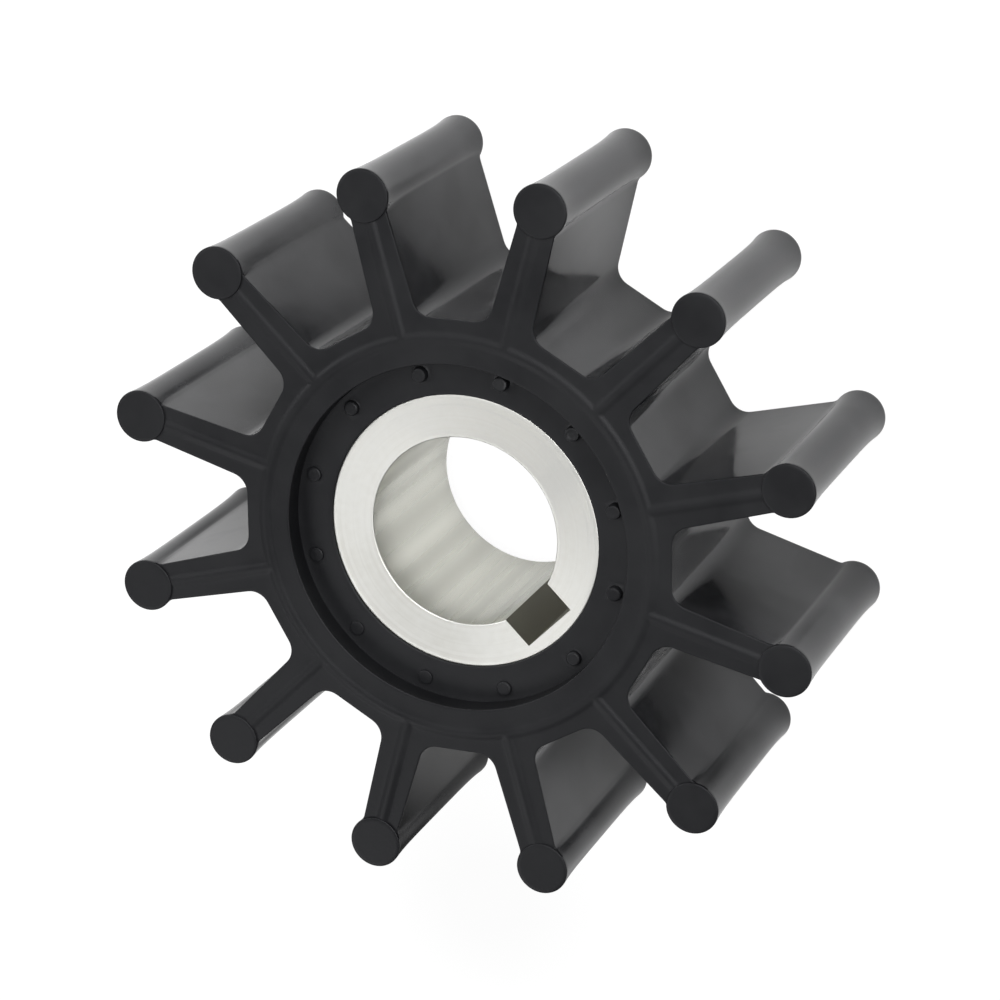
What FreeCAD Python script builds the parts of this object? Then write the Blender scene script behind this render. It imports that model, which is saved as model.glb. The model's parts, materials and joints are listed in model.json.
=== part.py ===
# A pump wheel: a rubber moulding with bulb-tipped vanes, bonded round a keyed metal bush.
# Millimetres. The axis is +Z and the origin is on it at mid-width. The keyway lies on -X,
# in line with a vane, and the end with the moulding pips faces +Z.
import FreeCAD
import Part
import Sketcher
import os

sizes = {
    # The whole wheel
    "vaneCount": 12,
    "tipCircleRadius": 45.0,  # circle through the centres of the bulb tips
    "tipRadius": 3.3,
    "wheelWidth": 32.0,  # over the ends of the tips
    # Bush
    "boreRadius": 12.5,
    "boreChamfer": 0.2,
    "bushWall": 5.65,
    "bushInset": 0.3,  # each end of the bush lies this far below the recess floor
    "bushEdgeChamfer": 0.3,
    "keywayWidth": 8.0,
    "keywayDepth": 3.8,  # beyond the wall of the bore
    # Recess round the bush in each end
    "recessWidth": 4.75,  # from the bush out to the wall of the recess
    "recessDepth": 3.2,  # from the ends of the tips down to the recess floor
    "recessChamfer": 0.6,
    # Vanes and the pockets between them
    "hubRim": 5.85,  # from the wall of the recess out to the flat floor of a pocket
    "faceStep": 0.3,  # the end faces lie this far below the ends of the tips
    "vaneRootThickness": 5.8,
    "vaneEndThickness": 4.5,
    "rootFillet": 2.5,
    "neckFillet": 1.3,
    "tipEdgeChamfer": 0.25,
    # Raised beads on the end faces
    "beadMargin": 3.1,  # from the wall of the recess out to the middle of the ring bead
    "beadWidth": 1.6,
    "beadCrestWidth": 0.7,
    "beadHeight": 0.2,
    # Moulding pips on the front recess floor
    "pipMargin": 2.1,  # from the wall of the recess in to the middles of the pips
    "pipRadius": 1.0,
    "pipHeight": 0.7,
}
samePlace = 1e-4  # edges nearer than this to where a feature put them are that feature's

doc = FreeCAD.newDocument("PumpWheel")
sheet = doc.addObject("Spreadsheet::Sheet", "Sizes")
for row, (alias, value) in enumerate(sizes.items(), start=1):
    sheet.set(f"A{row}", alias)
    sheet.set(f"B{row}", str(value))
    sheet.setAlias(f"B{row}", alias)
doc.recompute()

# Radii, heights and angles that follow from the sizes, as expressions on the sheet.
bushRadius = "(Sizes.boreRadius + Sizes.bushWall)"
recessRadius = f"({bushRadius} + Sizes.recessWidth)"
pocketFloor = f"({recessRadius} + Sizes.hubRim)"
beadCircle = f"({recessRadius} + Sizes.beadMargin)"
pipCircle = f"({recessRadius} - Sizes.pipMargin)"
faceHeight = "(Sizes.wheelWidth / 2 - Sizes.faceStep)"
floorHeight = "(Sizes.wheelWidth / 2 - Sizes.recessDepth)"
bushEnd = f"({floorHeight} - Sizes.bushInset)"
halfPitch = "(180 / Sizes.vaneCount)"


def number(expression):
    """The present value of an expression, for the first sketch of a shape and for finding edges."""
    value = sheet.evalExpression(expression.replace("Sizes.", ""))
    return float(getattr(value, "Value", value))


def originPart(body, role):
    return next(feature for feature in body.Origin.OriginFeatures if feature.Role == role)


def newSketch(body, name, plane, offset=None, turn=None):
    """A sketch on one of the body's own planes, lifted off it or turned about its normal."""
    sketch = body.newObject("Sketcher::SketchObject", name)
    sketch.AttachmentSupport = [(originPart(body, plane), "")]
    sketch.MapMode = "FlatFace"
    if offset:
        sketch.setExpression("AttachmentOffset.Base.z", offset)
    if turn:
        sketch.setExpression("AttachmentOffset.Rotation.Angle", turn)
    return sketch


def point(x, y):
    return FreeCAD.Vector(number(x), number(y), 0)


def line(sketch, start, end):
    return sketch.addGeometry(Part.LineSegment(start, end), False)


def outline(sketch, corners):
    """Straight lines from corner to corner, back to the first."""
    sides = [line(sketch, *ends) for ends in zip(corners, corners[1:] + corners[:1])]
    for side, following in zip(sides, sides[1:] + sides[:1]):
        sketch.addConstraint(Sketcher.Constraint("Coincident", side, 2, following, 1))
    return sides


def dimension(sketch, kind, *where, name, to):
    """Adds a named dimension that follows an expression, starting from its present value."""
    sketch.addConstraint(Sketcher.Constraint(kind, *where, number(to)))
    sketch.renameConstraint(sketch.ConstraintCount - 1, name)
    sketch.setExpression(f"Constraints.{name}", to)


def place(sketch, geometry, end, name, x, y):
    """Fixes one end of a line by its distances from the sketch's axes."""
    for axis, to, axisLine in (("X", x, -2), ("Y", y, -1)):
        if to == "0":
            sketch.addConstraint(Sketcher.Constraint("PointOnObject", geometry, end, axisLine))
        else:
            dimension(sketch, f"Distance{axis}", geometry, end, name=name + axis, to=to)


def rectangle(sketch, name, x0, x1, y0, y1):
    sides = outline(sketch, [point(x0, y0), point(x1, y0), point(x1, y1), point(x0, y1)])
    for side, direction in zip(sides, ("Horizontal", "Vertical", "Horizontal", "Vertical")):
        sketch.addConstraint(Sketcher.Constraint(direction, side))
    place(sketch, sides[0], 1, name + "Near", x0, y0)
    place(sketch, sides[1], 2, name + "Far", x1, y1)


def circle(sketch, name, radius, x="0"):
    shape = Part.Circle(point(x, "0"), FreeCAD.Vector(0, 0, 1), number(radius))
    index = sketch.addGeometry(shape, False)
    place(sketch, index, 3, name, x, "0")
    dimension(sketch, "Radius", index, name=name + "Radius", to=radius)


def beadSection(sketch, name, centre, side):
    """A bead, narrower at its crest than at its foot, on the front (side 1) or the back (side -1) face."""
    foot = f"({side} * {faceHeight})"
    crest = f"({side} * ({faceHeight} + Sizes.beadHeight))"
    corners = (
        (f"({centre} - Sizes.beadWidth / 2)", foot),
        (f"({centre} + Sizes.beadWidth / 2)", foot),
        (f"({centre} + Sizes.beadCrestWidth / 2)", crest),
        (f"({centre} - Sizes.beadCrestWidth / 2)", crest),
    )
    sides = outline(sketch, [point(x, y) for x, y in corners])
    for i, (x, y) in enumerate(corners):
        place(sketch, sides[i], 1, f"{name}Corner{i}", x, y)


def symmetric(body, kind, name, sketch, length=None):
    """A Pad of the given length, or a Pocket through everything, the same both ways from mid-width."""
    feature = body.newObject(f"PartDesign::{kind}", name)
    feature.Profile = sketch
    feature.SideType = "Symmetric"
    if length:
        feature.setExpression("Length", length)
    else:
        feature.Type = "ThroughAll"
    return feature


def turned(body, kind, name, sketch):
    """A Revolution or a Groove of a section, all the way round the axis of the wheel."""
    feature = body.newObject(f"PartDesign::{kind}", name)
    feature.Profile = sketch
    feature.ReferenceAxis = (sketch, ["V_Axis"])
    feature.Angle = 360
    return feature


def roundTheWheel(body, name, features):
    """Repeats features at every vane."""
    pattern = body.newObject("PartDesign::PolarPattern", name)
    pattern.Originals = features
    pattern.Axis = (originPart(body, "Z_Axis"), [""])
    pattern.Angle = 360
    pattern.setExpression("Occurrences", "Sizes.vaneCount")
    body.Tip = pattern
    return pattern


def blend(body, kind, name, base, wanted, size):
    """A Fillet or a Chamfer on the edges of the base that are wanted."""
    doc.recompute()
    edges = [f"Edge{i}" for i, edge in enumerate(base.Shape.Edges, start=1) if wanted(edge)]
    feature = body.newObject(f"PartDesign::{kind}", name)
    feature.Base = (base, edges)
    feature.setExpression("Radius" if kind == "Fillet" else "Size", size)
    doc.recompute()
    return feature


def near(a, b):
    return abs(a - b) < samePlace


def upright(edge):
    """A straight edge along the axis of the wheel."""
    ends = [vertex.Point for vertex in edge.Vertexes]
    return len(ends) == 2 and near(ends[0].x, ends[1].x) and near(ends[0].y, ends[1].y)


def fromAxis(edge):
    middle = edge.valueAt((edge.FirstParameter + edge.LastParameter) / 2)
    return (middle.x ** 2 + middle.y ** 2) ** 0.5


def ring(edge, radius, height):
    """A circular edge of this radius at this height above or below mid-width."""
    if not isinstance(edge.Curve, Part.Circle):
        return False
    return near(edge.Curve.Radius, radius) and near(abs(edge.Curve.Center.z), height)


def makeBush():
    body = doc.addObject("PartDesign::Body", "DriveBush")
    body.Label = "drive_bush"

    ringSketch = newSketch(body, "BushRing", "XY_Plane")
    circle(ringSketch, "outside", bushRadius)
    circle(ringSketch, "bore", "Sizes.boreRadius")
    blank = symmetric(body, "Pad", "BushBlank", ringSketch, f"(2 * {bushEnd})")

    bore, outside, end = number("Sizes.boreRadius"), number(bushRadius), number(bushEnd)
    leadIn = blend(body, "Chamfer", "BoreChamfer", blank, lambda e: ring(e, bore, end), "Sizes.boreChamfer")
    blend(body, "Chamfer", "EdgeChamfer", leadIn, lambda e: ring(e, outside, end), "Sizes.bushEdgeChamfer")

    keySketch = newSketch(body, "KeywaySection", "XY_Plane")
    floor = "(-(Sizes.boreRadius + Sizes.keywayDepth))"
    rectangle(keySketch, "keyway", floor, "0", "(-Sizes.keywayWidth / 2)", "(Sizes.keywayWidth / 2)")
    symmetric(body, "Pocket", "Keyway", keySketch)
    return body


def pocketSketch(body):
    """One gap between two vanes. Its flanks are dimensioned from the vane's own centreline."""
    sketch = newSketch(body, "PocketSection", "XY_Plane", turn=halfPitch)
    reach = "(Sizes.tipCircleRadius + Sizes.tipRadius)"
    slope = f"tan({halfPitch})"
    inner = f"({pocketFloor} * {slope} - Sizes.vaneRootThickness / 2)"
    outer = f"({reach} * {slope} - Sizes.vaneEndThickness / 2)"
    corners = ((pocketFloor, f"(-{inner})"), (pocketFloor, inner), (reach, outer), (reach, f"(-{outer})"))
    base, flank, mouth, otherFlank = outline(sketch, [point(x, y) for x, y in corners])
    sketch.addConstraint(Sketcher.Constraint("Symmetric", base, 1, base, 2, -1))
    sketch.addConstraint(Sketcher.Constraint("Symmetric", mouth, 1, mouth, 2, -1))
    dimension(sketch, "DistanceX", base, 1, name="floor", to=pocketFloor)
    dimension(sketch, "DistanceX", mouth, 1, name="reach", to=reach)

    axis = FreeCAD.Vector(0, 0, 0)
    tipX = f"(Sizes.tipCircleRadius * cos({halfPitch}))"
    tipY = f"(Sizes.tipCircleRadius * sin({halfPitch}))"
    centreline = sketch.addGeometry(Part.LineSegment(axis, point(tipX, tipY)), True)
    sketch.addConstraint(Sketcher.Constraint("Coincident", centreline, 1, -1, 1))
    dimension(sketch, "Distance", centreline, name="tipCentre", to="Sizes.tipCircleRadius")
    dimension(sketch, "Distance", base, 2, centreline, name="rootHalf", to="(Sizes.vaneRootThickness / 2)")
    dimension(sketch, "Distance", flank, 2, centreline, name="endHalf", to="(Sizes.vaneEndThickness / 2)")
    angle = FreeCAD.Units.Quantity(number(halfPitch), "deg")
    sketch.addConstraint(Sketcher.Constraint("Angle", centreline, angle))
    sketch.renameConstraint(sketch.ConstraintCount - 1, "halfPitch")
    sketch.setExpression("Constraints.halfPitch", halfPitch)
    return sketch


def makeWheel():
    body = doc.addObject("PartDesign::Body", "RubberWheel")
    body.Label = "rubber_wheel"

    # A disc, with the gaps between the vanes cut out of it.
    discSketch = newSketch(body, "DiscSection", "XY_Plane")
    circle(discSketch, "disc", "Sizes.tipCircleRadius")
    symmetric(body, "Pad", "Disc", discSketch, f"(2 * {faceHeight})")
    pocket = symmetric(body, "Pocket", "VanePocket", pocketSketch(body))
    roundTheWheel(body, "VanePockets", [pocket])

    # The hole for the bush, and the recess round it in each end.
    seatSketch = newSketch(body, "SeatSection", "XY_Plane")
    circle(seatSketch, "seat", bushRadius)
    symmetric(body, "Pocket", "BushSeat", seatSketch)
    recessSketch = newSketch(body, "RecessSections", "XZ_Plane")
    rectangle(recessSketch, "front", "0", recessRadius, floorHeight, faceHeight)
    rectangle(recessSketch, "back", "0", recessRadius, f"(-{faceHeight})", f"(-{floorHeight})")
    turned(body, "Groove", "Recesses", recessSketch)

    # Bulb tips, which stand proud of the end faces.
    tipSketch = newSketch(body, "TipSection", "XY_Plane")
    circle(tipSketch, "tip", "Sizes.tipRadius", x="Sizes.tipCircleRadius")
    tip = symmetric(body, "Pad", "Tip", tipSketch, "Sizes.wheelWidth")
    tips = roundTheWheel(body, "Tips", [tip])

    # Soft corners, found by where they lie.
    tipCircle, tipRadius = number("Sizes.tipCircleRadius"), number("Sizes.tipRadius")
    recess, floor, end = number(recessRadius), number(floorHeight), number("Sizes.wheelWidth / 2")
    neckZone = tipCircle - 2 * tipRadius  # upright edges inside this belong to the roots

    def atRoot(edge):
        return upright(edge) and recess < fromAxis(edge) < neckZone

    def atNeck(edge):
        return upright(edge) and neckZone < fromAxis(edge) < tipCircle

    def atRecess(edge):
        return ring(edge, recess, floor)

    def atTipEnd(edge):
        return ring(edge, tipRadius, end)

    roots = blend(body, "Fillet", "RootFillets", tips, atRoot, "Sizes.rootFillet")
    necks = blend(body, "Fillet", "NeckFillets", roots, atNeck, "Sizes.neckFillet")
    corners = blend(body, "Chamfer", "RecessChamfers", necks, atRecess, "Sizes.recessChamfer")
    blend(body, "Chamfer", "TipEdges", corners, atTipEnd, "Sizes.tipEdgeChamfer")

    # A raised bead round each end face, and one from it along each vane to its tip.
    ringBead = newSketch(body, "RingBeadSections", "XZ_Plane")
    vaneBead = newSketch(body, "VaneBeadSections", "YZ_Plane", offset=beadCircle)
    for label, side in (("front", 1), ("back", -1)):
        beadSection(ringBead, label, beadCircle, side)
        beadSection(vaneBead, label, "0", side)
    turned(body, "Revolution", "RingBeads", ringBead)
    bead = body.newObject("PartDesign::Pad", "VaneBead")
    bead.Profile = vaneBead
    bead.setExpression("Length", f"Sizes.tipCircleRadius - {beadCircle}")
    roundTheWheel(body, "VaneBeads", [bead])

    # Small pips that the mould leaves on the front recess floor, one in line with each vane.
    pipSketch = newSketch(body, "PipSection", "XY_Plane", offset=floorHeight)
    circle(pipSketch, "pip", "Sizes.pipRadius", x=pipCircle)
    pip = body.newObject("PartDesign::Pad", "Pip")
    pip.Profile = pipSketch
    pip.setExpression("Length", "Sizes.pipHeight")
    roundTheWheel(body, "Pips", [pip])
    return body


pieces = [makeWheel(), makeBush()]
doc.recompute()

for item in doc.Objects:
    if "Invalid" in item.State or "Error" in item.State:
        raise RuntimeError(f"{item.Label} failed: {item.State}")
for piece in pieces:
    if piece.Shape.isNull() or not piece.Shape.isValid() or len(piece.Shape.Solids) != 1:
        raise RuntimeError(f"{piece.Label} isn't one valid solid")

os.makedirs("parts", exist_ok=True)
for piece in pieces:
    piece.Shape.exportStep(f"parts/{piece.Label}.step")
    box = piece.Shape.BoundBox
    print(piece.Label, "faces", len(piece.Shape.Faces), "volume", round(piece.Shape.Volume, 1),
          "box", [round(v, 3) for v in (box.XMin, box.YMin, box.ZMin, box.XMax, box.YMax, box.ZMax)])
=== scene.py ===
# Dresses a flexible pump wheel: a black rubber moulding with bulb-tipped vanes round a turned metal bush
import bpy
import bmesh
import json
import math
import random
from mathutils import Matrix, Quaternion, Vector


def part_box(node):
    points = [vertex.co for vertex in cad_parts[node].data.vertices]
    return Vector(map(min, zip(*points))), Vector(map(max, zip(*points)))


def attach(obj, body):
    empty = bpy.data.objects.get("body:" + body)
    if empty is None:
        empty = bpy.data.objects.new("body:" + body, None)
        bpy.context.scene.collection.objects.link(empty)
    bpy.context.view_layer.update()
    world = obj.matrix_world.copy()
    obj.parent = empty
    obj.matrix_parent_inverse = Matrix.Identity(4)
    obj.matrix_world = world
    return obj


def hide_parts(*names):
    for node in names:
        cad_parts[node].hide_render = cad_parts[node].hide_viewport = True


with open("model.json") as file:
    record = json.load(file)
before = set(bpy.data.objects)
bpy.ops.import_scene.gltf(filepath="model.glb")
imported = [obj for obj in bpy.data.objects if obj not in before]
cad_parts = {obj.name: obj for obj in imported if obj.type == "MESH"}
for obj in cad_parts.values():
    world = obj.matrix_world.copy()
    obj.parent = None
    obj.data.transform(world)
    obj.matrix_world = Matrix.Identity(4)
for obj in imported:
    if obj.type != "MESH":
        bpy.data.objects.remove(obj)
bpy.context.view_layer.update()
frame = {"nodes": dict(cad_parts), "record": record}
mm = 0.001
print("frame loaded:", sorted(frame["nodes"]))


def addObject(name, data):
    obj = bpy.data.objects.new(name, data)
    bpy.context.scene.collection.objects.link(obj)
    return obj


# Camera, at the angle of the photograph
camera = {
    "aim": Vector((-0.09, -8.80, 16.04)) * mm,  # where the lens axis meets the front plane of the wheel
    "azimuth": -1.48,  # degrees round the axis, 0 looks along +Y
    "elevation": 61.67,
    "distance": 418.3 * mm,
    "roll": 130.31,  # degrees the top of the picture leans to the right
    "lens": 121.01,
    "nearest": 0.01,
    "farthest": 20,
}


def addCamera():
    turn, rise = math.radians(camera["azimuth"]), math.radians(camera["elevation"])
    back = Vector((math.sin(turn) * math.cos(rise), -math.cos(turn) * math.cos(rise), math.sin(rise)))
    data = bpy.data.cameras.new("camera")
    data.lens = camera["lens"]
    data.clip_start = camera["nearest"]
    data.clip_end = camera["farthest"]
    obj = addObject("camera", data)
    obj.rotation_mode = "QUATERNION"
    obj.location = camera["aim"] + back * camera["distance"]
    upright = (-back).to_track_quat("-Z", "Y")
    obj.rotation_quaternion = upright @ Quaternion((0, 0, 1), -math.radians(camera["roll"]))
    bpy.context.scene.camera = obj


addCamera()
print("camera placed")


# Shader maths, written as expressions on sockets
class Flow:
    def __init__(self, tree, socket=None):
        self.tree = tree
        self.socket = socket

    def node(self, kind, settings=None, sockets=None, out=0):
        made = self.tree.nodes.new(kind)
        for key, value in (settings or {}).items():
            setattr(made, key, value)
        for key, value in (sockets or {}).items():
            if isinstance(value, Flow):
                self.tree.links.new(value.socket, made.inputs[key])
            else:
                made.inputs[key].default_value = value
        return Flow(self.tree, made.outputs[out]) if len(made.outputs) else made

    def maths(self, operation, a, b):
        return self.node("ShaderNodeMath", {"operation": operation}, {0: a, 1: b})

    def __add__(self, other):
        return self.maths("ADD", self, other)

    def __radd__(self, other):
        return self.maths("ADD", other, self)

    def __sub__(self, other):
        return self.maths("SUBTRACT", self, other)

    def __rsub__(self, other):
        return self.maths("SUBTRACT", other, self)

    def __mul__(self, other):
        return self.maths("MULTIPLY", self, other)

    def __rmul__(self, other):
        return self.maths("MULTIPLY", other, self)

    def clamp(self, low, high):
        return self.node("ShaderNodeClamp", None, {"Value": self, "Min": low, "Max": high})

    def mix(self, factor, a, b):
        return self.node("ShaderNodeMix", {"data_type": "RGBA"}, {0: factor, 6: a, 7: b}, out=2)

    def vector(self, operation, a, b=(0, 0, 0), out=0):
        return self.node("ShaderNodeVectorMath", {"operation": operation}, {0: a, 1: b}, out)

    def noise(self, where, scale, detail=2, rough=0.5):
        return self.node("ShaderNodeTexNoise", None,
                         {"Vector": where, "Scale": scale, "Detail": detail, "Roughness": rough})

    def lineNoise(self, along, detail):
        return self.node("ShaderNodeTexNoise", {"noise_dimensions": "1D"},
                         {"W": along, "Scale": 1.0, "Detail": detail})

    def bump(self, height, depth, strength=1.0):
        return self.node("ShaderNodeBump", None, {"Height": height, "Distance": depth, "Strength": strength})

    def place(self):  # object coordinates, in metres
        return self.node("ShaderNodeTexCoord", out=3)


def newMaterial(name):
    material = bpy.data.materials.new(name)
    material.use_nodes = True
    tree = material.node_tree
    tree.nodes.clear()
    return material, Flow(tree)


def principled(flow, **sockets):
    named = {key.replace("_", " "): value for key, value in sockets.items()}
    shader = flow.node("ShaderNodeBsdfPrincipled", None, named)
    flow.node("ShaderNodeOutputMaterial", None, {"Surface": shader})


# Rubber: matt where the ends were ground, smoother where the mould touched it
rubber = {
    "colour": (0.0074, 0.0076, 0.0087, 1),
    "tint": (0.965, 0.97, 1.0, 1),
    "ends": {
        "bloom": (0.0110, 0.0113, 0.0124, 1),  # faint grey haze that comes up in patches
        "roughness": 0.42,
        "smudge": 0.10,  # how far the haze changes the roughness
        "specular": 0.24,
        "grain": 0.012 * mm,
        "wave": 0.0,
        "drag": 0.0,
    },
    "flanks": {
        "bloom": (0.034, 0.0345, 0.037, 1),
        "roughness": 0.13,
        "smudge": 0.12,
        "specular": 0.5,
        "grain": 0.0024 * mm,
        "wave": 0.022 * mm,  # slow unevenness
        "drag": 0.007 * mm,  # faint lines that run the way the moulding was pulled out
    },
    "grainScale": 2600,
    "waveScale": 110,
    "dragScale": 420,
    "dragStretch": 0.12,
    "smudgeScale": 95,
    "smudgeContrast": 3.0,
    "smudgeLevel": 1.0,
}
roughDetail = {"detail": 3, "rough": 0.6}


def rubberFinish(name, look):
    material, flow = newMaterial(name)
    where = flow.place()
    cloud = flow.noise(where, rubber["smudgeScale"], **roughDetail)
    patch = (cloud * rubber["smudgeContrast"] - rubber["smudgeLevel"]).clamp(0, 1)
    drawn = flow.vector("MULTIPLY", where, (1, 1, rubber["dragStretch"]))
    height = flow.noise(where, rubber["grainScale"], **roughDetail) * look["grain"]
    height = height + flow.noise(where, rubber["waveScale"], 1) * look["wave"]
    height = height + flow.noise(drawn, rubber["dragScale"], 2) * look["drag"]
    principled(flow,
               Base_Color=flow.mix(patch, rubber["colour"], look["bloom"]),
               Roughness=look["roughness"] + (patch - 0.5) * look["smudge"],
               Specular_IOR_Level=look["specular"],
               Specular_Tint=rubber["tint"],
               Normal=flow.bump(height, 1.0))
    return material


# Metal of the bush: fine turning marks round its ends, and long marks in the bore from shafts sliding in
metal = {
    "face": {
        "colour": (0.85, 0.85, 0.815, 1),
        "stain": (0.74, 0.736, 0.695, 1),
        "roughness": 0.42,
        "markDepth": 0.003 * mm,
        "anisotropic": 0.25,
    },
    "bore": {
        "colour": (0.99, 0.99, 0.93, 1),
        "stain": (0.76, 0.76, 0.71, 1),
        "roughness": 0.28,
        "markDepth": 0.0006 * mm,
        "anisotropic": 0.3,
    },
    "keyway": {
        # The keyway's dark colour and stain are painted shade of the narrow slot
        "colour": (0.42, 0.41, 0.36, 1),
        "stain": (0.33, 0.32, 0.28, 1),
        "roughness": 0.48,
        "markDepth": 0.0006 * mm,
        "anisotropic": 0.0,
    },
    "markRelief": 0.5,
    "markSmudge": 0.10,  # how far the marks and the stains change the roughness
    "stainSmudge": 0.08,
    "markPitch": 0.16 * mm,
    "arcPitch": 0.5 * mm,  # broader arcs, which fade in and out
    "arcScale": 80,
    "arcContrast": 2.0,
    "arcLevel": 0.3,
    "arcShare": 1.5,
    "cloudScale": 170,
    "cloudShare": 1.3,
    "speckScale": 900,
    "speckShare": 0.8,
    "faceLevel": 1.1,
    "streakWidth": 3.0 * mm,
    "streakContrast": 1.5,
    "streakLevel": 0.3,
}


def metalFinish(name, look, shade, marks):
    material, flow = newMaterial(name)
    tone = shade(flow).clamp(0, 1)
    mark = marks(flow)
    uneven = (mark - 0.5) * metal["markSmudge"] + (tone - 0.5) * metal["stainSmudge"]
    principled(flow,
               Base_Color=flow.mix(tone, look["colour"], look["stain"]),
               Metallic=1.0,
               Roughness=look["roughness"] + uneven,
               Anisotropic=look["anisotropic"],
               Normal=flow.bump(mark, look["markDepth"], metal["markRelief"]))
    return material


def rings(flow, pitch):
    flat = flow.vector("MULTIPLY", flow.place(), (1, 1, 0))
    radius = flow.vector("LENGTH", flat, out=1)
    return flow.lineNoise(radius * (1 / pitch), 3)


def turningMarks(flow):
    return rings(flow, metal["markPitch"])


def faceShade(flow):
    where = flow.place()
    fade = flow.noise(where, metal["arcScale"], 1) * metal["arcContrast"] - metal["arcLevel"]
    arcs = rings(flow, metal["arcPitch"]) * fade
    clouds = flow.noise(where, metal["cloudScale"], **roughDetail) * metal["cloudShare"]
    specks = flow.noise(where, metal["speckScale"], 2) * metal["speckShare"]
    return clouds + specks + arcs * metal["arcShare"] - metal["faceLevel"]


def streaks(flow):  # broad soft bands along the bore
    x, y = [flow.node("ShaderNodeSeparateXYZ", None, {0: flow.place()}, out=i) for i in range(2)]
    turn = flow.maths("ARCTAN2", y, x) * (bush["bore"] / metal["streakWidth"])
    return flow.lineNoise(turn, 0)


def boreShade(flow):
    return streaks(flow) * metal["streakContrast"] - metal["streakLevel"]


# Meshes are made of patches of quads that share their edges, and are welded afterwards
weldDistance = 0.0008 * mm


def sheetOf(mesh, rows, finish):
    points = [[mesh.verts.new(p) for p in row] for row in rows]
    for upper, lower in zip(points, points[1:]):
        for i in range(len(upper) - 1):
            face = mesh.faces.new((upper[i], upper[i + 1], lower[i + 1], lower[i]))
            face.material_index = finish


def meshObject(mesh, name, materials):
    data = bpy.data.meshes.new(name)
    mesh.to_mesh(data)
    mesh.free()
    for material in materials:
        data.materials.append(material)
    return addObject(name, data)


def finishPiece(mesh, name, materials, crease):
    bmesh.ops.remove_doubles(mesh, verts=mesh.verts, dist=weldDistance)
    bmesh.ops.recalc_face_normals(mesh, faces=mesh.faces)
    for face in mesh.faces:
        face.smooth = True
    for edge in mesh.edges:
        edge.smooth = len(edge.link_faces) == 2 and edge.calc_face_angle() < crease
    return meshObject(mesh, name, materials)


def unit(angle):
    return Vector((math.cos(angle), math.sin(angle)))


def blendOf(a, b, t):
    return a + (b - a) * t


def steps(count):
    return [i / count for i in range(count + 1)]


def flipped(row):
    return [Vector((p.x, -p.y)) for p in row]


def mirrored(row):  # a half row and its mirror image, as one row over the vane
    return flipped(row[:0:-1]) + list(row)


def lifted(row, height):
    return [Vector((p.x, p.y, height(p) if callable(height) else height)) for p in row]


# The wheel, one vane at a time, with the vane's middle on +X
low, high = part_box("rubber_wheel")
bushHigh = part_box("drive_bush")[1]
wheel = {
    "vanes": 12,
    "tipHeight": high.z,
    "tipRadius": 3.45 * mm,  # at the ends; the tips are a little slimmer in the middle of their length
    "tipWaist": 0.28 * mm,
    "waistPower": 5,  # high: most of the change lies near the ends
    "tipCircle": high.x - 3.3 * mm,
    "faceStep": 0.3 * mm,
    "pocketFloor": 28.75 * mm,
    "rootThickness": 5.8 * mm,
    "endThickness": 4.5 * mm,
    "rootFillet": 2.5 * mm,
    "neckFillet": 1.3 * mm,
    "edge": 0.12 * mm,  # rounding of the end faces' edges
    "tipEdge": 0.14 * mm,
    "beadCircle": 26.3 * mm,
    "beadHalfWidth": 0.95 * mm,
    "beadHeight": 0.15 * mm,
    "recessRadius": 22.9 * mm,
    "recessDepth": 3.2 * mm,
    "footWidth": 0.1 * mm,  # the curve at the foot of the recess wall
    "footHeight": 0.1 * mm,
    "seatRadius": bushHigh.x,
    "seatEdge": 0.12 * mm,
    "pipCircle": 21.15 * mm,
    "pipRadius": 1.0 * mm,
    "pipHeight": 0.65 * mm,  # about this: the pips stand taller towards -Y
    "pipSlope": 0.45 * mm,
    "pipSpread": (0.85, 1.15),
    "pipCraters": (0.0, 0.03, 0.08),
    "pipLean": 0.2,
    "seed": 7,
    "crease": math.radians(40),
}
faceHeight = wheel["tipHeight"] - wheel["faceStep"]
floorHeight = wheel["tipHeight"] - wheel["recessDepth"]
flankTop = faceHeight - wheel["edge"]
halfPitch = math.pi / wheel["vanes"]
tipCentre = Vector((wheel["tipCircle"], 0))
rounding = [math.radians(a) for a in (0, 30, 60, 90)]
endFinish, flankFinish = 0, 1

# How finely the wheel is divided
outlineSteps = {"floor": 4, "root": 8, "web": 12, "throat": 6, "bulb": 20}
edgeFade = 3  # points over which the edge's rounding fades out at the tip
beadColumns = [d * mm for d in (0, 0.3, 0.55, 0.8, 0.95)]
webColumns = (0.25, 0.5, 0.75, 0.9, 1)
hubBulge, webBulge = 0.3 * mm, 0.1 * mm  # how far the rows across a vane bow out
bulgePower = 0.7  # below 1: towards the tip, the bow grows fast at first
lipRows = (0, 0.3, 1.0)
beadRows = (-1.0, -0.8, -0.55, -0.3, 0, 0.3, 0.55, 0.8, 1.0)
outerRows = (0.45, 0.88)
discRows = (0.84, 0.55, 0.25, 0)
flankRows = (1, 0.985, 0.96, 0.92, 0.86, 0.78, 0.65, 0.45, 0.2)
footRows = (0, 0.02, 0.08, 0.17, 0.27)
pipRows = (1.3, 0.95, 0.6, 0.3, 0, -0.3, -0.6, -0.95, -1.35)
pipColumns = 6  # on each side of the pip's middle
innerRow = 0.6  # share of the way from the pips' rows to the seat


def arcOf(centre, radius, angles):  # a negative radius gives the hollow side of a fillet
    return [(centre + unit(a) * radius, unit(a)) for a in angles]


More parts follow.
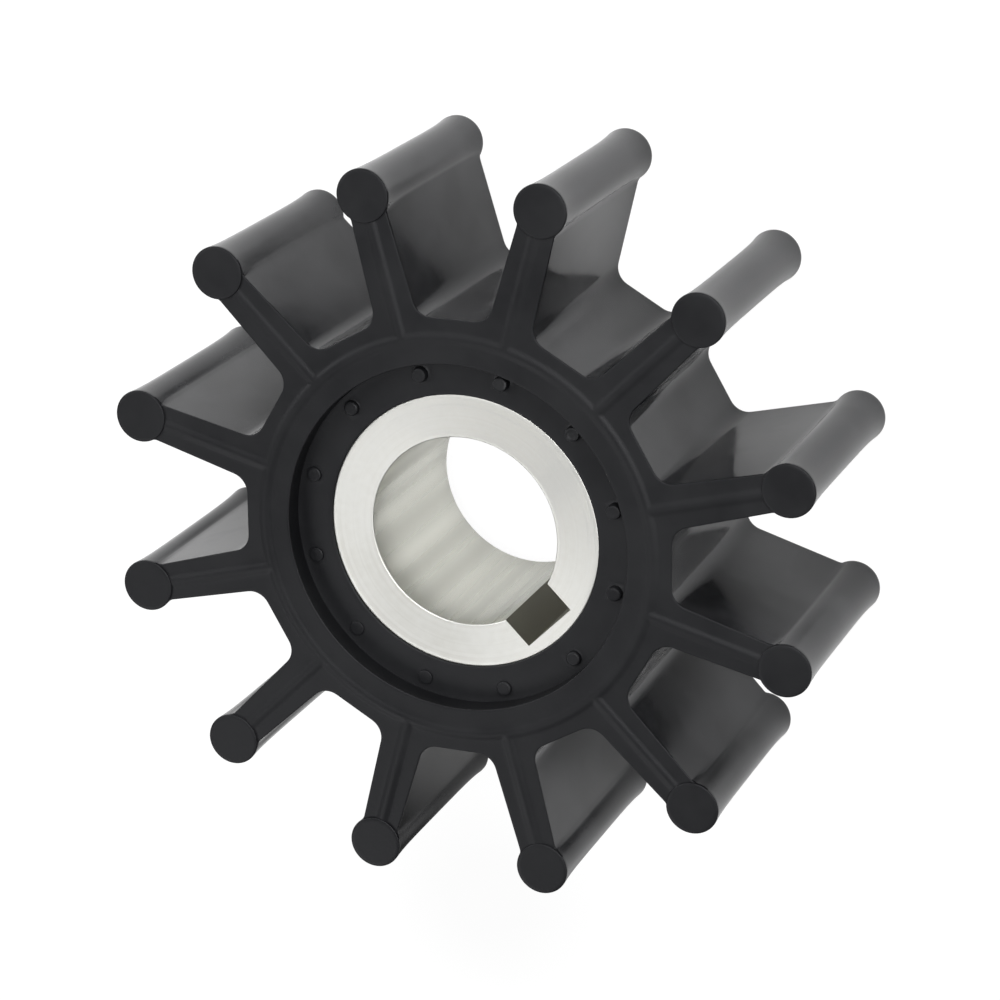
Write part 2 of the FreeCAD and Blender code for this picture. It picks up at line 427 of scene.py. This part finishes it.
def halfOutline():  # points and outward normals, from the middle of a pocket's floor to the tip's outside
    out = unit(halfPitch)
    along = Vector((math.sin(halfPitch), -math.cos(halfPitch)))
    floorMiddle = out * wheel["pocketFloor"]
    mouthMiddle = out * (wheel["tipCircle"] + wheel["tipRadius"])
    root = floorMiddle + along * (floorMiddle.y - wheel["rootThickness"] / 2) / math.cos(halfPitch)
    mouth = mouthMiddle + along * (mouthMiddle.y - wheel["endThickness"] / 2) / math.cos(halfPitch)
    flank = (mouth - root).normalized()
    side = Vector((-flank.y, flank.x))
    sideAngle = math.atan2(side.y, side.x)

    radius = wheel["rootFillet"]
    reach = radius / math.tan(flank.angle(-along) / 2)
    rootStart = root - along * reach
    rootCentre = rootStart + out * radius
    rootEnd = root + flank * reach

    neck = wheel["neckFillet"]
    offset = root + side * neck - tipCentre
    ahead = offset.dot(flank)
    gap = (wheel["tipRadius"] + neck) ** 2 - offset.length_squared + ahead ** 2
    neckCentre = tipCentre + offset + flank * (-ahead - math.sqrt(gap))
    neckStart = neckCentre - side * neck
    neckAngle = math.atan2(neckCentre.y - tipCentre.y, neckCentre.x - tipCentre.x)

    floor = [(blendOf(floorMiddle, rootStart, t), out) for t in steps(outlineSteps["floor"])]
    rootAngles = [blendOf(halfPitch, sideAngle, t) for t in steps(outlineSteps["root"])]
    turn = arcOf(rootCentre, -radius, rootAngles)
    web = [(blendOf(rootEnd, neckStart, t), side) for t in steps(outlineSteps["web"])]
    neckAngles = [blendOf(sideAngle, neckAngle, t) for t in steps(outlineSteps["throat"])]
    throat = arcOf(neckCentre, -neck, neckAngles)
    bulbAngles = [neckAngle * (1 - t) for t in steps(outlineSteps["bulb"])]
    bulb = arcOf(tipCentre, wheel["tipRadius"], bulbAngles)
    return floor[:-1] + turn[:-1] + web[:-1] + throat, bulb


vaneSide, bulbSide = halfOutline()
rootIndex = outlineSteps["floor"] + outlineSteps["root"]
cornerIndex = rootIndex - outlineSteps["root"] // 2  # half-way round the root fillet, where hub and vane meet
lastIndex = len(vaneSide) - 1


def edgeAt(i):  # the rounding fades out where the web runs into the tip
    return wheel["edge"] * min(1, (lastIndex - i) / edgeFade)


def inset(i, amount):
    point, normal = vaneSide[i]
    return point - normal * amount


def beadRise(x, y):
    def crest(distance):
        share = distance / wheel["beadHalfWidth"]
        return wheel["beadHeight"] * (1 - share ** 2) ** 2 if share < 1 else 0
    ring = crest(abs(math.hypot(x, y) - wheel["beadCircle"]))
    return max(ring, crest(abs(y))) if x > wheel["beadCircle"] else ring


def onFace(p):
    return faceHeight + beadRise(p.x, p.y)


def acrossVane(x, y, bulge):  # one line of points over the vane, from its middle to its edge
    heights = beadColumns + [blendOf(beadColumns[-1], y, f) for f in webColumns]
    return [Vector((x + bulge * (1 - (h / y) ** 2), h)) for h in heights]


def hubLine():  # the outer line of the hub: over the root of the vane, then back along the fillet and floor
    corner = inset(cornerIndex, edgeAt(cornerIndex))
    line = acrossVane(corner.x, corner.y, hubBulge)
    return line + [inset(i, edgeAt(i)) for i in range(cornerIndex - 1, -1, -1)]


def hubRows():
    outer = hubLine()
    start = wheel["recessRadius"] + wheel["edge"]
    radii = [start + d * mm for d in lipRows] + [wheel["beadCircle"] + d * mm for d in beadRows]
    rows = []
    for radius in radii:
        row = []
        for j, end in enumerate(outer):
            if j < len(beadColumns):
                row.append(Vector((math.sqrt(radius ** 2 - end.y ** 2), end.y)))
            else:
                row.append(end.normalized() * radius)
        rows.append(row)
    lastRing = rows[-1]
    rows += [[blendOf(p, end, share) for p, end in zip(lastRing, outer)] for share in outerRows]
    return rows + [outer]


def vaneRows():
    rows = [acrossVane(*inset(cornerIndex, edgeAt(cornerIndex)), hubBulge)]
    tipBulge = tipCentre.x - wheel["tipRadius"] - vaneSide[lastIndex][0].x
    for i in range(cornerIndex + 1, lastIndex + 1):
        if i <= rootIndex:
            bulge = blendOf(hubBulge, webBulge, (i - cornerIndex) / (rootIndex - cornerIndex))
        else:
            share = (i - rootIndex) / (lastIndex - rootIndex)
            bulge = webBulge * (1 - share) + tipBulge * share ** bulgePower
        rows.append(acrossVane(*inset(i, edgeAt(i)), bulge))
    rows[-1] = [Vector((tipCentre.x - math.sqrt(wheel["tipRadius"] ** 2 - p.y ** 2), p.y)) for p in rows[-1]]
    return rows


def facePatches():
    hub = [lifted(mirrored(row), onFace) for row in hubRows()]
    vane = [lifted(mirrored(row), onFace) for row in vaneRows()]
    return [(hub, endFinish), (vane, endFinish)]


def edgePatches():  # the rounded edge between an end face and the flanks
    patches = []
    for flip in (1, -1):
        rows = []
        for a in rounding[::-1]:
            height = faceHeight - wheel["edge"] * (1 - math.sin(a))
            line = [inset(i, edgeAt(i) * (1 - math.cos(a))) for i in range(len(vaneSide))]
            rows.append([Vector((p.x, flip * p.y, height)) for p in line])
        patches.append((rows, endFinish))
    return patches


def tipPatches():
    radius, edge, top = wheel["tipRadius"], wheel["tipEdge"], wheel["tipHeight"]
    inner = mirrored(vaneRows()[-1])
    outer = [p for p, n in bulbSide]
    outer = outer + flipped(outer[-2::-1])
    whole = inner + outer[1:]
    footHeights = [onFace(p) for p in inner] + [faceHeight] * (len(outer) - 1)
    rows = [[Vector((p.x, p.y, z)) for p, z in zip(whole, footHeights)]]
    for a in rounding:
        share = 1 - edge * (1 - math.cos(a)) / radius
        height = top - edge * (1 - math.sin(a))
        rows.append([Vector((*blendOf(tipCentre, p, share), max(height, z)))
                     for p, z in zip(whole, footHeights)])
    for share in discRows:
        rows.append([Vector((*blendOf(tipCentre, p, share), top)) for p in whole])
    wall = [lifted(outer, faceHeight - wheel["edge"] * (1 - math.sin(a))) for a in rounding[::-1]]
    return [(rows[:2], flankFinish), (rows[1:], endFinish), (wall, flankFinish)]


def waisted(z):  # the half outline at a height, drawn in round the tip
    draw = wheel["tipWaist"] * (1 - abs(z / flankTop) ** wheel["waistPower"])
    bulb = [p - (p - tipCentre).normalized() * draw for p, n in bulbSide[1:]]
    inward = (bulbSide[0][0] - tipCentre).normalized() * draw
    throat = outlineSteps["throat"]  # takes up the change
    first = lastIndex - throat
    side = [p - inward * max(0, (i - first) / throat) ** 2 for i, (p, n) in enumerate(vaneSide)]
    return side + bulb


def flankPatch():
    rows = []
    for share in flankRows + (0,) + tuple(-s for s in flankRows[::-1]):
        half = waisted(flankTop * share)
        rows.append(lifted(half + flipped(half[-2::-1]), flankTop * share))
    return [(rows, flankFinish)]


def recessHeight(radius):  # the floor of the recess, and the curve that leads up into its wall
    share = 1 - (wheel["recessRadius"] - radius) / wheel["footWidth"]
    return floorHeight + wheel["footHeight"] * (1 - math.sqrt(1 - min(1, max(0, share)) ** 2))


def wallProfile():
    edge, wallRadius = wheel["edge"], wheel["recessRadius"]
    lip = [(wallRadius + edge * (1 - math.sin(a)), faceHeight - edge * (1 - math.cos(a))) for a in rounding]
    return lip + [(wallRadius, floorHeight + wheel["footHeight"])]


def seatProfile():
    edge, seatRadius = wheel["seatEdge"], wheel["seatRadius"]
    lip = [(seatRadius + edge * (1 - math.sin(a)), floorHeight - edge * (1 - math.cos(a))) for a in rounding]
    return lip + [(seatRadius, 0)]


def floorRadii():
    foot = [wheel["recessRadius"] - wheel["footWidth"] * s for s in footRows]
    block = [wheel["pipCircle"] + d * mm for d in pipRows]
    end = wheel["seatRadius"] + wheel["seatEdge"]
    return foot + block + [blendOf(block[-1], end, innerRow), end]


def polarRow(angles, radius, height):
    return [Vector((radius * math.cos(a), radius * math.sin(a), height)) for a in angles]


def pipPatch(block, traits):  # a small moulding pip with an uneven, sometimes cratered top
    centre = Vector((wheel["pipCircle"], 0))
    border = block[0][:-1] + [row[-1] for row in block[:-1]]
    border = border + block[-1][:0:-1] + [row[0] for row in block[:0:-1]]
    border = border + [border[0]]
    height, crater, lean = traits
    # Shares of the pip's radius and height, from its foot to the middle of its top
    shape = ((1.08, 0), (1.01, 0.04), (0.99, 0.5), (0.95, 0.82), (0.86, 0.96), (0.68, 1.0), (0.5, 1 - crater),
             (0.25, 1 - 0.9 * crater), (0, 1 - 0.8 * crater))
    rows = [border]
    for share, rise in shape:
        row = []
        for p in border:
            away = (Vector((p.x, p.y)) - centre).normalized()
            spot = centre + away * share * wheel["pipRadius"]
            top = floorHeight + height * (1 + lean * share * away.x)
            row.append(Vector((*spot, blendOf(recessHeight(spot.length), top, rise))))
        rows.append(row)
    return rows, endFinish


def recessPatches(traits):
    angles = [math.atan2(p.y, p.x) for p in mirrored(hubRows()[0])]
    wall = [polarRow(angles, r, z) for r, z in wallProfile()]
    seat = [polarRow(angles, r, z) for r, z in seatProfile()]
    floor = [polarRow(angles, r, recessHeight(r)) for r in floorRadii()]
    patches = [(wall, endFinish), (seat, endFinish)]
    if traits is None:
        return patches + [(floor, endFinish)]
    first = len(footRows)
    last = first + len(pipRows) - 1
    middle = len(angles) // 2
    left, right = middle - pipColumns, middle + pipColumns
    block = floor[first:last + 1]
    patches += [(floor[:first + 1], endFinish), (floor[last:], endFinish)]
    patches += [([row[:left + 1] for row in block], endFinish), ([row[right:] for row in block], endFinish)]
    patches.append(pipPatch([row[left:right + 1] for row in block], traits))
    return patches


def pipTraits(draw, angle):
    height = wheel["pipHeight"] - wheel["pipSlope"] * math.sin(angle)
    height = height * draw.uniform(*wheel["pipSpread"])
    crater = draw.choice(wheel["pipCraters"])
    return height, crater, draw.uniform(-wheel["pipLean"], wheel["pipLean"])


def makeWheel(materials):
    mesh = bmesh.new()
    draw = random.Random(wheel["seed"])
    shared = facePatches() + edgePatches() + tipPatches()
    flanks = flankPatch()
    for k in range(wheel["vanes"]):
        angle = 2 * halfPitch * k
        turn = Matrix.Rotation(angle, 3, "Z")
        traits = pipTraits(draw, angle)
        for side in (1, -1):
            for rows, finish in shared + recessPatches(traits if side == 1 else None):
                sheetOf(mesh, [[turn @ Vector((p.x, p.y, side * p.z)) for p in row] for row in rows], finish)
        for rows, finish in flanks:
            sheetOf(mesh, [[turn @ p for p in row] for row in rows], finish)
    return finishPiece(mesh, "rubber_wheel_moulding", materials, wheel["crease"])


# The bush, with the keyway on -X
boreMount = next(m for m in frame["record"]["mounts"] if m["name"] == "shaft_bore")
bush = {
    "outer": bushHigh.x,
    "end": bushHigh.z,
    "bore": boreMount["dims"]["r_mm"] * mm,
    "boreRound": 0.16 * mm,
    "edgeRound": 0.15 * mm,
    "keyHalfWidth": 4.0 * mm,
    "keyFloor": 16.3 * mm,
    "crease": math.radians(25),
    "arcColumns": 120,
    "wallColumns": 4,
    "floorColumns": 6,
    "outerMouth": math.radians(22),  # where the columns of the keyway's wall meet the rim
    "outerKey": math.radians(13.5),
}
fineRounding = [math.radians(a) for a in (0, 18, 36, 54, 72, 90)]
bushFaceRows = (0, 0.1, 0.4, 0.7, 0.95, 1)
boreRows = (1, 0.5, 0, -0.5, -1)
sideRows = (1, 0, -1)
turnedFinish, boredFinish, keywayShadedFinish = 0, 1, 2


def boreLine(radius):  # the bore, then the keyway's wall, floor and other wall
    half = bush["keyHalfWidth"]
    sweep = math.pi - math.asin(half / radius)
    mouth = -math.sqrt(radius ** 2 - half ** 2)
    arc = [unit(sweep * (2 * t - 1)) * radius for t in steps(bush["arcColumns"])]
    wall = [Vector((blendOf(mouth, -bush["keyFloor"], t), half)) for t in steps(bush["wallColumns"])]
    floor = [Vector((-bush["keyFloor"], half * (1 - 2 * t))) for t in steps(bush["floorColumns"])]
    return arc, wall, floor, flipped(wall[::-1])


def rimLine(radius):  # a circle with its points spread like those of the bore line
    key, mouth = bush["outerKey"], bush["outerMouth"]
    arc = [unit((math.pi - mouth) * (2 * t - 1)) * radius for t in steps(bush["arcColumns"])]
    wall = [unit(math.pi - blendOf(mouth, key, t)) * radius for t in steps(bush["wallColumns"])]
    floor = [unit(math.pi - key * (1 - 2 * t)) * radius for t in steps(bush["floorColumns"])]
    return arc, wall, floor, flipped(wall[::-1])


def makeBush(materials):
    mesh = bmesh.new()
    end, edge, mouth = bush["end"], bush["edgeRound"], bush["boreRound"]
    rims = []
    mouths = []
    for a in fineRounding:
        aside, below = 1 - math.cos(a), 1 - math.sin(a)
        rims.append((rimLine(bush["outer"] - edge * aside), end - edge * below))
        mouths.append((boreLine(bush["bore"] + mouth * aside), end - mouth * below))
    outerLine, innerLine = rims[-1][0], mouths[-1][0]
    bore = boreLine(bush["bore"])
    for part in range(4):
        faces = [[blendOf(a, b, t) for a, b in zip(outerLine[part], innerLine[part])] for t in bushFaceRows]
        inside = boredFinish if part == 0 else keywayShadedFinish
        mouthFinish = turnedFinish if part == 0 else keywayShadedFinish
        for side in (1, -1):
            sheetOf(mesh, [lifted(row, side * end) for row in faces], turnedFinish)
            sheetOf(mesh, [lifted(line[part], side * z) for line, z in rims], turnedFinish)
            sheetOf(mesh, [lifted(line[part], side * z) for line, z in mouths], mouthFinish)
        sheetOf(mesh, [lifted(bore[part], (end - mouth) * s) for s in boreRows], inside)
        sheetOf(mesh, [lifted(rims[0][0][part], (end - edge) * s) for s in sideRows], turnedFinish)
    return finishPiece(mesh, "drive_bush_turned", materials, bush["crease"])


rubberMaterials = [
    rubberFinish("rubberEnds", rubber["ends"]),
    rubberFinish("rubberFlanks", rubber["flanks"]),
]
wheelPiece = makeWheel(rubberMaterials)
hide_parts("rubber_wheel")
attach(wheelPiece, "root")
print("wheel made:", len(wheelPiece.data.polygons), "faces")

metalMaterials = [
    metalFinish("turnedMetal", metal["face"], faceShade, turningMarks),
    metalFinish("boredMetal", metal["bore"], boreShade, streaks),
    metalFinish("broachedMetalPaintedShade", metal["keyway"], boreShade, streaks),
]
bushPiece = makeBush(metalMaterials)
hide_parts("drive_bush")
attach(bushPiece, "root")
print("bush made:", len(bushPiece.data.polygons), "faces")


# Floor and studio light
studio = {
    "floorSize": 6.0,
    "floorColour": (0.86, 0.86, 0.86, 1),
    "floorWhite": 1.1,
    "floorGlow": 0.88,  # share of that white in what the camera sees of the floor
    "paintedShadowMiddle": Vector((-40, 52, 0)) * mm,  # middle of a painted shadow, a dark spot in the floor's colour on the side away from the lamps
    "paintedShadowColour": (0.06, 0.06, 0.06, 1),
    "paintedShadowRadius": 34 * mm,
    "paintedShadowCore": 0.5,  # share of the radius with the full painted shadow
    "white": (1.0, 1.0, 1.0, 1),
    "worldStrength": 0.05,
    "boxSize": 0.4,
    "boxDistance": 0.9,
}
softboxes = [  # degrees round the axis from +X, degrees above the floor, power in watts
    {"name": "top", "round": 270, "rise": 80, "power": 3.6},
    {"name": "key", "round": 307, "rise": 34, "power": 2.5},
    {"name": "keySide", "round": 247, "rise": 34, "power": 2.1},
    {"name": "rightSide", "round": 7, "rise": 34, "power": 1.2},
    {"name": "low", "round": 337, "rise": 10, "power": 0.95},
    {"name": "backSide", "round": 35, "rise": 44, "power": 1.9},
    {"name": "back", "round": 95, "rise": 44, "power": 1.1},
    {"name": "leftSide", "round": 187, "rise": 58, "power": 0.75},
]


def addFloor():
    material, flow = newMaterial("floor")
    toCamera = flow.node("ShaderNodeLightPath")
    through = Flow(flow.tree, toCamera.socket.node.outputs["Is Transmission Ray"])
    where = flow.node("ShaderNodeNewGeometry")
    # Painted shadow: the floor's colour darkens towards a spot beside the wheel, which the glossy flanks
    # mirror
    reach = flow.vector("DISTANCE", where, studio["paintedShadowMiddle"], out=1)
    core = studio["paintedShadowCore"]
    shade = (1.0 - reach * (1 / studio["paintedShadowRadius"])).clamp(0, core) * (1 / core)
    colour = flow.mix(shade, studio["floorColour"], studio["paintedShadowColour"])
    plain = flow.node("ShaderNodeBsdfDiffuse", None, {"Color": colour})
    white = flow.node("ShaderNodeEmission", None,
                      {"Color": studio["white"], "Strength": studio["floorWhite"]})
    seen = toCamera * studio["floorGlow"] + through
    surface = flow.node("ShaderNodeMixShader", None, {0: seen.clamp(0, 1), 1: plain, 2: white})
    flow.node("ShaderNodeOutputMaterial", None, {"Surface": surface})
    mesh = bmesh.new()
    bmesh.ops.create_grid(mesh, x_segments=1, y_segments=1, size=studio["floorSize"] / 2)
    floor = meshObject(mesh, "floor", [material])
    floor.location.z = low.z


def addWorld():
    world = bpy.data.worlds.new("studio")
    bpy.context.scene.world = world
    world.use_nodes = True
    world.node_tree.nodes.clear()
    flow = Flow(world.node_tree)
    toCamera = flow.node("ShaderNodeLightPath")
    strength = toCamera * (1 - studio["worldStrength"]) + studio["worldStrength"]
    background = flow.node("ShaderNodeBackground", None, {"Color": studio["white"], "Strength": strength})
    flow.node("ShaderNodeOutputWorld", None, {"Surface": background})


def addSoftbox(box):
    light = bpy.data.lights.new(box["name"], "AREA")
    light.shape = "DISK"
    light.size = studio["boxSize"]
    light.energy = box["power"]
    obj = addObject(box["name"], light)
    turn, rise = math.radians(box["round"]), math.radians(box["rise"])
    away = Vector((math.cos(turn) * math.cos(rise), math.sin(turn) * math.cos(rise), math.sin(rise)))
    obj.location = away * studio["boxDistance"]
    obj.rotation_mode = "QUATERNION"
    obj.rotation_quaternion = (-away).to_track_quat("-Z", "Y")


addFloor()
addWorld()
for box in softboxes:
    addSoftbox(box)
bpy.context.scene.view_settings.view_transform = "Standard"
print("floor and lights placed")
